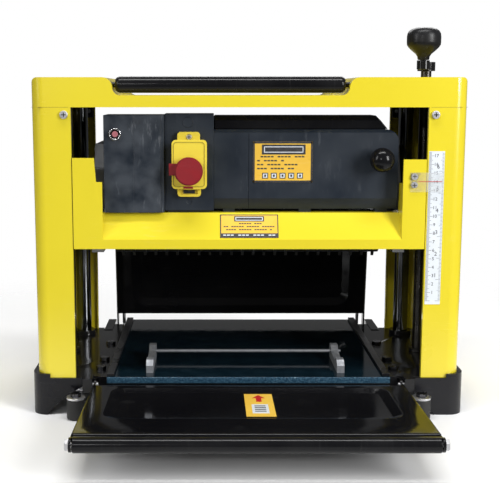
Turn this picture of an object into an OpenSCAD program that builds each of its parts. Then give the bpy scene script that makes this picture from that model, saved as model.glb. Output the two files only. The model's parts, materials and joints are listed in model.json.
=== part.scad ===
// Bench thickness planer: yellow covers on a black base, head carriage on four columns,
// folding infeed and outfeed trays. +X right, +Y out of the back, +Z up, floor at z = 0.

/* [Body] */
// Width over the side covers
body_w = 502; // [480:1:520]
// Depth of the side covers, front to back
body_d = 250; // [240:1:260]
// Height of the covers' lower edge
cover_z = 45; // [40:1:50]
// Height of the seam between side covers and top cover
seam_z = 363.5; // [355:0.5:372]
// Height of the top cover's raised ends
top_z = 397.5; // [390:0.5:405]
// Width of one cover's front strip
cover_strip = 46; // [40:1:52]
// Radius of the covers' upright corners
corner_r = 16; // [10:1:20]
// Thickness of the cover sheet
sheet = 1.5; // [1:0.1:2]

/* [Table] */
// Height of the table surface
table_z = 47; // [45:0.5:50]
// Width of the table plate
table_w = 336; // [330:1:340]
// Clear working width between the side rails
work_w = 318; // [305:1:330]
// Front edge of the table plate
table_front = -131; // [-135:1:-125]
// Rear edge of the table plate
table_rear = 174; // [165:1:180]

/* [Columns and screws] */
// Distance of the columns from the middle, sideways
column_x = 222; // [215:1:226]
// Distance of the columns from the middle, front and back
column_y = 95; // [85:1:98]
// Radius of a guide column
column_r = 10; // [8:0.5:12]
// Distance of the lifting screws from the middle
screw_x = 227; // [220:1:230]
// Outside radius of a lifting screw
screw_r = 7; // [6:0.5:8]

/* [Carriage] */
// Thickness the depth scale reads in this pose
reading = 140; // [16:1:152]
// Radius of the knives' cutting circle
cut_r = 24; // [22:0.5:26]
// Radius of a feed roller
feed_r = 19; // [16:0.5:20]
// Distance of the feed rollers from the cutter shaft
feed_y = 60; // [50:1:65]
// Height of the front crosspiece's bottom edge
cross_z = 199.8; // [195:0.2:205]

/* [Trays] */
// Width over the tray flanges
tray_w = 365; // [355:1:370]
// Pin to the support roller's axis
tray_reach = 219; // [200:1:230]
// Tilt of a lowered tray
tray_tilt = 1.8; // [0:0.1:3]
// Angle of the folded outfeed tray
tray_fold = 97; // [90:1:100]

/* [Crank] */
// Sideways offset of the knob from the screw
knob_dx = -20; // [-40:1:40]
// Offset of the knob towards the front
knob_dy = -75; // [-80:1:-60]
// Radius of the crank knob
knob_r = 20; // [17:0.5:22]

/* [View] */
// Which node to draw

/* [Hidden] */
$fn = 64;
e = 0.01;
half_w = body_w / 2;
half_d = body_d / 2;
run = 0.05;                       // running clearance, on the radius
strip_x = half_w - cover_strip;   // inner edge of the covers
cut_z = table_z + reading + cut_r;       // cutter shaft axis
feed_z = table_z + reading - 0.5 + feed_r;
face_y = -half_d - 1.2;           // front face of the carriage
hinge_z = 36;
hinge_front = table_front + 6;
hinge_rear = table_rear - 6;
deck_z = cover_z;
deck_low = 33;
roller_z = 389.1;
roller_y = half_d - 13;
roller_r = 9.5;
roller_x = [-154.6, 110.6];
saddle_x = [-157, 114];
saddle_z = 377;
chain_z = [13, 19];
knob_x = screw_x + knob_dx;
knob_y = knob_dy;
arm_z = [407, 418];
motor_y = 5;
motor_z = 300;
pulley_x = [189, 202];
pawl_y = -94;
pawl_z = 203;
pawl_count = 24;
pawl_pitch = 13;
lock_x = 153.4;
lock_z = 303.2;
stop_x = -69.7;
stop_z = 291;
switch_y = -105;                  // face of the switch block
reset_x = -155;
reset_z = 332.7;
block_y = -117;                   // face of the left block

// ---- building blocks ----
module box(x, y, z) {
  translate([x[0], y[0], z[0]])
    cube([x[1] - x[0], y[1] - y[0], z[1] - z[0]]);
}
module zcyl(r, x, y, z) {
  translate([x, y, z[0]])
    cylinder(r = r, h = z[1] - z[0]);
}
module xcyl(r, x, y, z) {
  translate([x[0], y, z])
    rotate([0, 90, 0])
      cylinder(r = r, h = x[1] - x[0]);
}
module ycyl(r, x, y, z) {
  translate([x, y[0], z])
    rotate([-90, 0, 0])
      cylinder(r = r, h = y[1] - y[0]);
}
module both() {
  children();
  mirror([1, 0, 0])
    children();
}
module rounded(x, y, r) {
  translate([x[0] + r, y[0]])
    square([x[1] - x[0] - 2 * r, y[1] - y[0]]);
  translate([x[0], y[0] + r])
    square([x[1] - x[0], y[1] - y[0] - 2 * r]);
  for (cx = [x[0] + r, x[1] - r], cy = [y[0] + r, y[1] - r])
    translate([cx, cy])
      circle(r = r);
}
// a plate seen from the front: outline in X and Z, thickness along Y
module front_plate(x, z, y, r) {
  translate([0, y[1], 0])
    rotate([90, 0, 0])
      linear_extrude(y[1] - y[0])
        rounded(x, z, r);
}
// an outline in Y and Z, drawn out along X
module along_x(x) {
  translate([x[0], 0, 0])
    rotate([90, 0, 90])
      linear_extrude(x[1] - x[0])
        children();
}
module hex_bolt(x, y, z, head = 4) {
  translate([x, y, z])
    cylinder(r = 6.5, h = head, $fn = 6);
  zcyl(3, x, y, [z - 9, z + e]);
}

// ---- base ----
bolt_y = [-88, -46, 34];
ledge_bolt_x = 179;
buffer_x = 203;
buffer_y = -142;
module base_casting() {
  color([0.05, 0.05, 0.055])
    difference() {
      union() {
        box([-167, 167], [table_front + 4, table_rear - 4], [deck_low, table_z - 3]);
        both() {
          box([160, half_w - 5], [-half_d + 4, half_d - 4], [deck_low, table_z - 3]);
          box([table_w / 2 + 0.3, half_w - 5], [-half_d + 4, half_d - 4], [deck_low + 2, deck_z]);
          box([150, 167], [table_front + 4, table_rear - 4], [24, deck_low + 1]);
          box([184.5, 196], [hinge_front - 10, -half_d + 12], [29, 46]);
          box([184.5, 196], [half_d - 12, hinge_rear + 10], [29, 46]);
          box([160, 196], [half_d - 8, 150], [26, table_z - 3]);
          box([table_w / 2 + 0.3, 196], [half_d - 8, 150], [28, deck_z]);
          box([160, 177], [table_rear - 20, table_rear - 3.2], [22, 34]);
          box([160, 177], [table_front + 3.2, table_front + 14], [22, 34]);
          for (y = [-column_y, column_y])
            zcyl(15, column_x, y, [deck_low, deck_z + 6]);
        }
        for (y = [-100, -50, 50, 100])
          box([-165, 165], [y - 3, y + 3], [26, deck_low + 1]);
      }
      both() {
        for (y = [-column_y, column_y])
          zcyl(column_r, column_x, y, [deck_low - e, deck_z + 7]);
        zcyl(screw_r + 0.5 + run, screw_x, 0, [deck_low - e, deck_z + e]);
        for (y = bolt_y)
          zcyl(3, ledge_bolt_x, y, [deck_z - 9, deck_z + e]);
        for (y = [hinge_front, hinge_rear])
          xcyl(3, [184, 197], y, hinge_z);
        xcyl(10.5, [178, 184.5], hinge_front, hinge_z);
      }
    }
}
module table_plate() {
  color([0.35, 0.4, 0.45])
    along_x([-table_w / 2, table_w / 2]) {
      translate([table_front + 3, table_z - 3])
        square([table_rear - table_front - 6, 3]);
      for (y = [table_front, table_rear - 3])
        translate([y, table_z - 8])
          square([3, 5]);
      for (y = [table_front + 3, table_rear - 3])
        translate([y, table_z - 3])
          intersection() {
            circle(r = 3);
            translate([-3, 0])
              square([6, 3]);
          }
    }
}
module table_rails() {
  color([0.06, 0.06, 0.06])
    both()
      box([work_w / 2, table_w / 2], [table_front + 4, table_rear - 4], [table_z, table_z + 3.5]);
}
module hex_bolts() {
  color([0.6, 0.6, 0.62])
    both() {
      for (y = bolt_y)
        hex_bolt(ledge_bolt_x, y, deck_z);
      for (y = [-column_y, column_y])
        hex_bolt(column_x, y, 374);
      hex_bolt(buffer_x, buffer_y, 27);
    }
}
shoe_x = 257;
arch_r = 114;
arch_z = -69;
bench_x = 248.5;
bench_y = 108;
function arch_x(leg_in) = leg_in - sqrt(arch_r * arch_r - arch_z * arch_z);
module shoe_plan(inset) {
  rounded([60, shoe_x - inset], [-half_d - 3 + inset, half_d], 18 - inset);
}
module shoe_part(z, x, y) {
  // the outline of the shoe between two heights, kept beyond x and in front of y
  translate([0, 0, z[0]])
    linear_extrude(z[1] - z[0])
      intersection() {
        shoe_plan(0);
        translate([x, -200])
          square([100, 200 + y]);
      }
}
module shoe(leg_in) {
  // one corner shoe, drawn at the front right; leg_in is the inner edge of its leg
  difference() {
    union() {
      difference() {
        shoe_part([0, deck_z], 197.5, -60);
        translate([0, 0, -1])
          linear_extrude(deck_low + 1)
            shoe_plan(5);
      }
      difference() {
        shoe_part([deck_z - 1, deck_z + 5], 235, -60);
        translate([0, 0, deck_z])
          linear_extrude(20)
            rounded([60, half_w + 0.1], [-half_d - 0.1, half_d], corner_r);
      }
      shoe_part([0, deck_low + 1], leg_in, -88);
    }
    // the base casting fills the space above the leg
    box([150, half_w - 4.9], [-half_d + 3.9, half_d], [deck_low, deck_z + 10]);
    ycyl(arch_r, arch_x(leg_in), [-half_d - 30, -half_d + 4], arch_z);
    box([190, 212.5], [-half_d - 30, -half_d + 20], [-1, 28]);
    zcyl(3.4, bench_x, -bench_y, [-1, 20]);
  }
}
module corner_shoes() {
  color([0.13, 0.13, 0.14])
    for (m = [[0, 0], [0, 1], [1, 0], [1, 1]])
      mirror([m[0], 0, 0])
        mirror([0, m[1], 0])
          shoe(m[0] == 1 ? 239.5 : (m[1] == 0 ? 221 : 239.5));
}
module buffer_brackets() {
  color([0.62, 0.62, 0.64])
    both()
      difference() {
        union() {
          zcyl(11, buffer_x, buffer_y, [24.5, 27]);
          box([198, 211], [buffer_y, -117], [24.5, 27]);
          box([198, 211], [-119.5, -117], [24.5, deck_low]);
          box([198, 211], [-119.5, -98], [deck_low - 2.5, deck_low]);
        }
        zcyl(3, buffer_x, buffer_y, [20, 30]);
      }
}
module rubber_buffers() {
  color([0.04, 0.04, 0.04])
    both()
      difference() {
        translate([buffer_x, buffer_y, 0])
          rotate_extrude()
            difference() {
              union() {
                square([8, 24.5]);
                translate([0, 3])
                  square([11, 21.5]);
                translate([8, 3])
                  circle(r = 3);
              }
              translate([-20, -10])
                square([20, 50]);
            }
        zcyl(3, buffer_x, buffer_y, [17, 25]);
      }
}
module guide_columns() {
  color([0.55, 0.56, 0.58])
    both()
      for (y = [-column_y, column_y])
        difference() {
          zcyl(column_r, column_x, y, [deck_low, 366]);
          zcyl(3, column_x, y, [364, 367]);
        }
}

// ---- top ----
module top_frame() {
  color([0.05, 0.05, 0.05])
    difference() {
      union() {
        both() {
          box([172, 236], [-115, 115], [366, 374]);
          box([172, 230], [-half_d + sheet + 0.1, -114], [366, 374]);
          box([172, 230], [114, half_d - sheet - 0.1], [366, 374]);
          for (s = [-1, 1])
            box([207, 219], s > 0 ? [113, half_d - sheet - 0.1] : [-half_d + sheet + 0.1, -113],
              [346, 367]);
        }
        box([-173, 173], [78, 115], [366, 374]);
        box([-173, 173], [-half_d + sheet + 0.1, -118.5], [366, 374]);
      }
      both() {
        for (y = [-column_y, column_y])
          zcyl(3, column_x, y, [360, 375]);
        zcyl(screw_r + 0.5 + run, screw_x, 0, [365, 375]);
        for (s = [-1, 1])
          ycyl(3, 212.5, s > 0 ? [110, 130] : [-130, -110], 355);
      }
    }
}
module cover_outline(t) {
  // half of a plan view: front strip, rounded corner, side, rear strip
  difference() {
    rounded([100, half_w - t], [-half_d + t, half_d - t], corner_r - t);
    translate([90, -half_d - 5])
      square([strip_x - 90 - e * (t > 0 ? 100 : 0), body_d + 10]);
  }
}
module side_cover() {
  color([0.92, 0.8, 0.16])
    difference() {
      union() {
        translate([0, 0, cover_z])
          linear_extrude(seam_z - cover_z)
            difference() {
              cover_outline(0);
              cover_outline(sheet);
            }
        for (y = [-half_d, half_d - 6])
          box([strip_x, strip_x + sheet], [y, y + 6], [cover_z, seam_z]);
      }
      ycyl(3, 212.5, [-half_d - 5, half_d + 5], 355);
    }
}
module left_cover() {
  mirror([1, 0, 0])
    side_cover();
}
module right_cover() {
  side_cover();
}
module saddle_outline(t) {
  // front view of the top cover, inset by t
  difference() {
    union() {
      translate([-half_w + t, seam_z - t])
        square([body_w - 2 * t, top_z - 8 - seam_z + t]);
      translate([-half_w + 8, seam_z])
        square([body_w - 16, top_z - t - seam_z]);
      for (x = [-half_w + 8, half_w - 8])
        translate([x, top_z - 8])
          circle(r = 8 - t);
    }
    translate([saddle_x[0] - t, saddle_z + 9])
      square([saddle_x[1] - saddle_x[0] + 2 * t, 30]);
    translate([saddle_x[0] + 9, saddle_z - t])
      square([saddle_x[1] - saddle_x[0] - 18, 30]);
    for (x = [saddle_x[0] + 9, saddle_x[1] - 9])
      translate([x, saddle_z + 9])
        circle(r = 9 + t);
    for (s = [0, 1])
      difference() {
        translate([s == 0 ? saddle_x[0] - 12 : saddle_x[1], top_z - 12])
          square([12, 13]);
        translate([s == 0 ? saddle_x[0] - 12 : saddle_x[1] + 12, top_z - 12])
          circle(r = 12 - t);
      }
  }
}
module saddle_solid(t) {
  intersection() {
    translate([0, half_d - t, 0])
      rotate([90, 0, 0])
        linear_extrude(body_d - 2 * t)
          saddle_outline(t);
    translate([0, 0, seam_z - 2])
      linear_extrude(60)
        rounded([-half_w + t, half_w - t], [-half_d + t, half_d - t], corner_r - t);
  }
}
module top_cover() {
  color([0.93, 0.81, 0.17])
    difference() {
      saddle_solid(0);
      saddle_solid(sheet);
      zcyl(9, screw_x, 0, [380, 400]);
      for (y = [-roller_y, roller_y])
        xcyl(3 + run, [-166, 124], y, roller_z);
    }
}
module cover_screws() {
  color([0.75, 0.75, 0.76])
    both()
      for (s = [0, 1])
        mirror([0, s, 0]) {
          ycyl(4.75, 212.5, [-half_d - 3, -half_d], 355);
          ycyl(3, 212.5, [-half_d - e, -114], 355);
        }
}
module depth_scale() {
  color([0.9, 0.92, 0.93])
    box([206.6, 224.6], [-half_d - 0.35, -half_d], [134, 313.5]);
}
module return_roller(y) {
  long = roller_x[1] - roller_x[0];
  round_r = 6;
  color([0.03, 0.03, 0.035])
    union() {
      translate([roller_x[0], y, roller_z])
        rotate([0, 90, 0])
          rotate_extrude()
            intersection() {
              rounded([-30, roller_r], [0, long], round_r);
              square([30, long]);
            }
      xcyl(3, [roller_x[0] - 7, roller_x[1] + 7], y, roller_z);
    }
}
module front_return_roller() {
  return_roller(-roller_y);
}
module rear_return_roller() {
  return_roller(roller_y);
}

// ---- lifting screws, chain and crank ----
module lift_chain() {
  color([0.25, 0.25, 0.25])
    translate([0, 0, chain_z[0] + 0.5])
      linear_extrude(chain_z[1] - chain_z[0] - 1)
        difference() {
          rounded([-screw_x - 20.5, screw_x + 20.5], [-20.5, 20.5], 20.49);
          rounded([-screw_x - 16.5, screw_x + 16.5], [-16.5, 16.5], 16.49);
        }
}
module lift_screw(x) {
  zcyl(screw_r + 0.5, x, 0, [9, 47]);
  zcyl(11, x, 0, [deck_z + 0.3, deck_z + 4]);
  zcyl(screw_r, x, 0, [46, 361]);
  zcyl(screw_r + 0.5, x, 0, [360, 376]);
  difference() {
    zcyl(16, x, 0, chain_z);
    for (k = [0:13])
      zcyl(2.2, x + 16.6 * cos(k * 360 / 14), 16.6 * sin(k * 360 / 14), [chain_z[0] - 1, chain_z[1] + 1]);
  }
}
module left_screw() {
  color([0.6, 0.6, 0.62])
    lift_screw(-screw_x);
}
module right_screw() {
  color([0.6, 0.6, 0.62]) {
    lift_screw(screw_x);
    zcyl(6.5, screw_x, 0, [375, arm_z[1] - 2]);
  }
}
module crank_arm() {
  reach = sqrt(knob_dx * knob_dx + knob_dy * knob_dy);
  color([0.08, 0.08, 0.09])
    difference() {
      union() {
        zcyl(11, screw_x, 0, arm_z);
        translate([screw_x, 0, arm_z[0] + 1])
          rotate([0, 0, atan2(knob_dy, knob_dx)])
            translate([8.5, -5.8, 0])
              cube([reach - 12, 11.6, 9.2]);
        zcyl(7.5, knob_x, knob_y, [arm_z[0] + 0.5, arm_z[0] + 10.7]);
        zcyl(4, knob_x, knob_y, [arm_z[0] + 5, 446]);
      }
      zcyl(6.5, screw_x, 0, [arm_z[0] - 1, arm_z[1] - 2]);
    }
}
module crank_knob() {
  base = arm_z[1] + 0.3;
  color([0.05, 0.05, 0.055])
    translate([knob_x, knob_y, 0])
      rotate_extrude()
        difference() {
          union() {
            polygon([[0, base], [6, base], [6, 421], [knob_r, 433], [knob_r, 449], [0, 449]]);
            translate([0, 449])
              square([knob_r - 6, 6]);
            translate([knob_r - 6, 449])
              circle(r = 6);
            translate([0, 449])
              square([knob_r - 6, 7]);
          }
          translate([0, 456])
            square([40, 10]);
          translate([-40, 400])
            square([40, 80]);
          square([4 + run, 447]);
        }
}

// ---- cutterhead carriage: structure ----
plate_x = [172, 186];
pawl_tip = 16.5;
module belt_loop(x, a, b, t) {
  // a closed loop round two round wheels; a and b are [y, z, radius]
  along_x(x)
    difference() {
      loop_shape(a, b, t);
      loop_shape(a, b, 0);
    }
}
module loop_shape(a, b, t) {
  hull()
    for (wheel = [a, b])
      translate([wheel[0], wheel[1]])
        circle(r = wheel[2] + t, $fn = 48);
}
module end_castings() {
  color([0.35, 0.36, 0.38])
    both()
      difference() {
        union() {
          along_x(plate_x)
            polygon([[-100, 192], [108, 192], [108, 255], [60, 318], [-50, 318], [-70, 262],
              [-78, 242], [-100, 242]]);
          for (y = [-column_y, column_y]) {
            zcyl(17, column_x, y, [200, 262]);
            box([plate_x[1] - 1, 210], y > 0 ? [85, 105] : [-99, -85], [204, 258]);
          }
          zcyl(15, screw_x, 0, [205, 250]);
          box([plate_x[1] - 1, 215], [-8, 8], [238, 250]);
        }
        for (y = [-column_y, column_y])
          zcyl(13, column_x, y, [199, 263]);
        zcyl(11, screw_x, 0, [204, 251]);
        xcyl(16, [170, 188], 0, cut_z);
        for (y = [-feed_y, feed_y])
          xcyl(6 + run, [170, 188], y, feed_z);
        xcyl(4, [170, 188], pawl_y, pawl_z);
        xcyl(9, [170, 188], motor_y, motor_z);
      }
}
module bronze_bushes() {
  color([0.7, 0.5, 0.25])
    both() {
      for (y = [-column_y, column_y])
        difference() {
          zcyl(13, column_x, y, [200, 262]);
          zcyl(column_r + run, column_x, y, [199, 263]);
        }
      difference() {
        zcyl(11, screw_x, 0, [205, 250]);
        zcyl(screw_r + run, screw_x, 0, [204, 251]);
      }
    }
}
module front_crosspiece() {
  color([0.92, 0.8, 0.16])
    difference() {
      union() {
        translate([0, face_y + 3, 0])
          rotate([90, 0, 0])
            linear_extrude(3)
              polygon([[-204, cross_z], [204, cross_z], [204, 304], [177.4, 304], [177.4, 211], [-170, 211],
                [-170, 278], [-177, 278], [-179, 305.7], [-204, 305.7]]);
        along_x([-177.4, 177.4])
          polygon([[face_y, cross_z], [face_y, 211], [-107.7, 240.4], [-100, 240.4], [-100, 237.4],
            [-106, 237.4], [face_y + 3, 210], [face_y + 3, cross_z + 3], [-110, cross_z + 3],
            [-110, cross_z]]);
        box([-171, 171], [-101, -92], [237.4, 240.4]);
        both()
          box([177.4, 181.4], [face_y, -100], [cross_z, 275]);
      }
      for (z = [274.9, 284.4])
        ycyl(1.5, 190, [face_y - 1, face_y + 4], z);
    }
}
module rear_crosspiece() {
  color([0.2, 0.2, 0.21])
    box([-184, 184], [108, 113], [200, 250]);
}
module head_bearings() {
  color([0.7, 0.7, 0.72])
    both()
      difference() {
        xcyl(16, [173, 185], 0, cut_z);
        xcyl(10 + run, [172, 186], 0, cut_z);
      }
}

// ---- cutterhead, feed rollers and drive ----
module cutter_spaces() {
  translate([0, 0, cut_z])
    for (a = [35, 215])
      rotate([a, 0, 0])
        children();
}
module cutter_drum() {
  color([0.45, 0.46, 0.48])
    difference() {
      union() {
        xcyl(22.5, [-163, 163], 0, cut_z);
        xcyl(10, [-188, 203], 0, cut_z);
        xcyl(22, pulley_x, 0, cut_z);
      }
      cutter_spaces()
        box([-160, 160], [-3, 5], [12, 30]);
    }
}
module knives() {
  color([0.75, 0.76, 0.78])
    cutter_spaces()
      box([-160, 160], [3, 5], [12, sqrt(cut_r * cut_r - 25)]);
}
module gib_bars() {
  color([0.3, 0.3, 0.32])
    cutter_spaces()
      box([-160, 160], [-3, 3], [12, 21.5]);
}
module feed_roller(y) {
  color([0.1, 0.1, 0.1])
    union() {
      xcyl(feed_r, [-160, 160], y, feed_z);
      xcyl(6, [-198, 187], y, feed_z);
      xcyl(13.5, [-197, -190], y, feed_z);
    }
}
module infeed_roller() {
  feed_roller(-feed_y);
}
module outfeed_roller() {
  feed_roller(feed_y);
}
module feed_chain() {
  color([0.3, 0.3, 0.3])
    belt_loop([-196, -191], [-feed_y, feed_z, 14], [feed_y, feed_z, 14], 3.5);
}
module motor() {
  color([0.12, 0.12, 0.13])
    difference() {
      union() {
        xcyl(42, [-60, 80], motor_y, motor_z);
        xcyl(33, [-95, -59], motor_y, motor_z);
        xcyl(33, [79, 100], motor_y, motor_z);
      }
      xcyl(6 + run, [-96, 101], motor_y, motor_z);
    }
}
module motor_shaft() {
  color([0.6, 0.6, 0.62]) {
    xcyl(6, [-92, 204], motor_y, motor_z);
    xcyl(11, pulley_x, motor_y, motor_z);
  }
}
module drive_belt() {
  color([0.06, 0.06, 0.06])
    belt_loop([pulley_x[0] + 1, pulley_x[1] - 1], [0, cut_z, 22.4], [motor_y, motor_z, 11.4], 2.5);
}

// ---- head casings ----
shroud_top = 353.5;
roof_front = 352.5;
roof_rear = 347;
wall = 2.5;
module slant(t, x) {
  // the front outline whose right end slopes down and out
  translate([0, 110, 0])
    rotate([90, 0, 0])
      linear_extrude(220)
        polygon([[-110, 240], [x + 15 - t, 240], [x + 15 - t, 336], [x - t, shroud_top], [-110, shroud_top]]);
}
module chip_shroud() {
  color([0.07, 0.07, 0.075])
    difference() {
      union() {
        intersection() {
          along_x([-98, 166])
            polygon([[-56, 262], [-56, roof_front], [94, roof_rear], [100, 340], [100, 262]]);
          slant(0, 150);
        }
        intersection() {
          along_x([-40, 166])
            polygon([[-96, 338], [-96, 348], [-90, shroud_top], [-50, shroud_top], [-50, 338]]);
          slant(0, 150);
        }
      }
      intersection() {
        along_x([-98 + wall, 170])
          polygon([[-56 + wall, 250], [-56 + wall, roof_front - wall], [93, roof_rear - wall],
            [97.5, 338], [97.5, 250]]);
        slant(wall, 150);
      }
      intersection() {
        along_x([-40 + wall, 170])
          polygon([[-96 + wall, 330], [-96 + wall, 347], [-89, shroud_top - wall],
            [-60, shroud_top - wall], [-60, 330]]);
        slant(wall, 150);
      }
      xcyl(9, [155, 170], motor_y, motor_z);
      xcyl(34, [-100, -90], motor_y, motor_z);
      box([-70, 130], [95, 105], [255, 285]);
    }
}
module casing(x, y, z) {
  // a thin moulded case, open at the back
  difference() {
    box(x, y, z);
    box([x[0] + wall, x[1] - wall], [y[0] + wall, y[1] + 1], [z[0] + wall, z[1] - wall]);
  }
}
module left_block() {
  color([0.17, 0.18, 0.2])
    difference() {
      union() {
        casing([-168.5, -98.8], [block_y, -60], [241.5, 354.5]);
        box([-164, -108], [-101, -95], [240.4, 246]);
      }
      box([-134, -98], [block_y - 1, block_y + 0.8], [230, 360]);
      box([-102.8, -98], [block_y - 1, block_y + 1.8], [230, 360]);
      ycyl(3.5 + run, reset_x, [block_y - 1, block_y + 5], reset_z);
    }
}
module switch_block() {
  color([0.17, 0.18, 0.2])
    difference() {
      union() {
        casing([-98.5, -40.9], [switch_y, -60], [242.5, 355.7]);
        box([-94, -46], [-101, -95], [240.4, 246]);
      }
      ycyl(3, stop_x, [switch_y - 1, switch_y + 1], 253);
    }
}
module motor_cover() {
  outline = [[-105, 257], [-105, 334], [-101, 337.5], [-58, 337.5], [-58, 244], [-98, 244]];
  inner = [[-102.5, 257.5], [-102.5, 333], [-100, 335], [-50, 335], [-50, 246.5], [-97, 246.5]];
  color([0.17, 0.18, 0.2])
    difference() {
      union() {
        intersection() {
          along_x([-40.7, 171.5])
            polygon(outline);
          front_plate([-80, 171.5], [200, 337.5], [-110, -50], 10);
        }
        intersection() {
          along_x([-40.7, 175])
            polygon(outline);
          front_plate([-80, 175], [200, 337.5], [-110, -80], 14);
        }
        for (x = [-30, 60, 150])
          box([x, x + 14], [-98, -93], [240.4, 250]);
      }
      along_x([-38.2, 169])
        polygon(inner);
      ycyl(4 + run, lock_x, [-106, -100], lock_z);
    }
}
module label_plates() {
  color([0.9, 0.7, 0.2]) {
    box([5, 74.5], [-105.5, -105], [276, 323.5]);
    // the second plate lies on the slope of the crosspiece
    translate([0, face_y, 211])
      rotate([atan2(29.4, 18.5), 0, 0])
        box([-33.5, 34.5], [2, 32], [0, 0.5]);
  }
}
module depth_pointer() {
  color([0.85, 0.88, 0.9])
    difference() {
      box([185.5, 222.3], [face_y - 1, face_y], [266.5, 289]);
      for (z = [274.9, 284.4])
        ycyl(1.5, 190, [face_y - 2, face_y + 1], z);
    }
}
module pointer_screws() {
  color([0.7, 0.7, 0.72])
    for (z = [274.9, 284.4]) {
      ycyl(3.6, 190, [face_y - 3, face_y - 1], z);
      ycyl(1.5, 190, [face_y - 2, face_y + 3], z);
    }
}
module pawl_shaft() {
  color([0.6, 0.6, 0.62])
    xcyl(4, [-186, 186], pawl_y, pawl_z);
}
module kickback_pawls() {
  color([0.3, 0.3, 0.32])
    for (k = [0:pawl_count - 1])
      translate([(k - (pawl_count - 1) / 2) * pawl_pitch, pawl_y, pawl_z])
        difference() {
          along_x([-1.5, 1.5]) {
            circle(r = 7);
            polygon([[-6, -3], [5, -pawl_tip], [7, -pawl_tip], [7, 0]]);
          }
          xcyl(4 + run, [-2, 2], 0, 0);
        }
}

// ---- controls ----
module reset_ring() {
  color([0.8, 0.8, 0.82])
    difference() {
      ycyl(7, reset_x, [block_y - 3, block_y], reset_z);
      ycyl(5.4, reset_x, [block_y - 4, block_y - 1.2], reset_z);
      ycyl(3.5 + run, reset_x, [block_y - 4, block_y + 1], reset_z);
    }
}
module reset_button() {
  color([0.9, 0.75, 0.72]) {
    ycyl(3.5, reset_x, [block_y - 2.8, block_y + 8], reset_z);
    ycyl(6, reset_x, [block_y + 2.7, block_y + 5], reset_z);
  }
}
module lock_knob() {
  color([0.02, 0.02, 0.02]) {
    translate([lock_x, -122, lock_z])
      sphere(r = 14.3);
    ycyl(4, lock_x, [-115, -88], lock_z);
  }
}
module switch_base() {
  color([0.9, 0.8, 0.2])
    difference() {
      union() {
        front_plate([-89.5, -49], [270, 312], [-118, switch_y], 4);
        box([-86.8, -51.7], [-118, switch_y], [311, 323]);
        front_plate([-83.4, -57], [315, 335], [-111.5, switch_y], 4);
        front_plate([-83.4, -56], [259.5, 275], [-111.5, switch_y], 4);
        both_sides()
          union() {
            xcyl(2.6, [14.2, 17.55], flap_y, flap_z);
            box([14.2, 17.55], [flap_y, -117], [flap_z - 2.6, flap_z + 2]);
            xcyl(1.5, [17, 20.1], flap_y, flap_z);
          }
      }
      ycyl(6 + run, stop_x, [-119, switch_y - 1], stop_z);
      ycyl(6 + run, stop_x, [-119, switch_y - 1], start_z);
      box([-79.5, -60], [-113, -109], [262.5, 268]);
    }
}
flap_y = -120.5;
flap_z = 321.5;
start_z = 309;
module both_sides() {
  // a mirrored pair about the middle of the switch
  for (s = [0, 1])
    translate([-69.25, 0, 0])
      mirror([s, 0, 0])
        children();
}
module switch_flap() {
  color([0.93, 0.85, 0.35])
    difference() {
      front_plate([-89.5, -49], [270, 326.5], [-126, -118.3], 5);
      box([-87.5, -51], [-124, -110], [275, 330]);
      box([-84.5, -54], [-124, -110], [272, 276]);
      ycyl(5 + run, stop_x, [-127, -120], stop_z);
      xcyl(1.5 + run, [-90, -48], flap_y, flap_z);
    }
}
module stop_mushroom() {
  color([0.65, 0.15, 0.18]) {
    ycyl(16.2, stop_x, [-138, -132], stop_z);
    ycyl(14.5, stop_x, [-140, -137], stop_z);
    ycyl(9, stop_x, [-132.5, -128.2], stop_z);
    box([-92.6, stop_x], [-130.5, -128.2], [286, 299.5]);
    ycyl(5, stop_x, [-129, -122.6], stop_z);
  }
}
module push_button(z, face) {
  ycyl(6, stop_x, [face, -109], z);
}
module start_button() {
  color([0.1, 0.5, 0.2])
    push_button(start_z, -121);
}
module stop_button() {
  color([0.7, 0.12, 0.12])
    push_button(stop_z, -120);
}

// ---- trays and gauge ----
tray_half = tray_w / 2;
axle_w = -0.9;
module tray_panel() {
  // the tray in its own frame: along the table is X, outward is Y, up is Z, the pin at zero
  difference() {
    union() {
      difference() {
        along_x([-tray_half + e, tray_half - e])
          difference() {
            rounded([22, 208], [-30, 6.5], 6);
            rounded([24, 206], [-32, 4.5], 4);
            translate([20, -32])
              square([170, 20]);
            translate([100, -32])
              square([110, 26]);
          }
        translate([0, 0, 5.5])
          linear_extrude(3)
            rounded([-151, 151], [40, 150], 18);
      }
      translate([0, 0, 3])
        linear_extrude(2.5)
          rounded([-153, 153], [38, 152], 20);
      both()
        along_x([180, tray_half]) {
          circle(r = 8);
          translate([0, -8])
            square([tray_reach, 14.5]);
          translate([tray_reach, axle_w])
            circle(r = 7.4);
        }
    }
    both() {
      xcyl(3 + run, [175, 190], 0, 0);
      xcyl(3, [175, 190], tray_reach, axle_w);
      ycyl(2.5, 173, [20, 26], -7.5);
    }
  }
}
module tray_roller() {
  difference() {
    xcyl(8, [-179, 179], tray_reach, axle_w);
    both()
      xcyl(3 + run, [160, 180], tray_reach, axle_w);
  }
}
module tray_bolts() {
  both() {
    xcyl(3, [161, tray_half + 1], tray_reach, axle_w);
    translate([tray_half, tray_reach, axle_w])
      rotate([0, 90, 0])
        cylinder(r = 6, h = 4, $fn = 6);
    ycyl(2.5, 173, [3.1, 26], -7.5);
    ycyl(4.2, 173, [24, 27], -7.5);
  }
}
module in_place_infeed() {
  translate([0, hinge_front, hinge_z])
    mirror([0, 1, 0])
      rotate([tray_tilt, 0, 0])
        children();
}
module in_place_outfeed() {
  translate([0, hinge_rear, hinge_z])
    rotate([tray_fold, 0, 0])
      children();
}
module infeed_tray() {
  color([0.05, 0.05, 0.055])
    in_place_infeed()
      tray_panel();
}
module infeed_tray_roller() {
  color([0.04, 0.04, 0.045])
    in_place_infeed()
      tray_roller();
}
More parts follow.
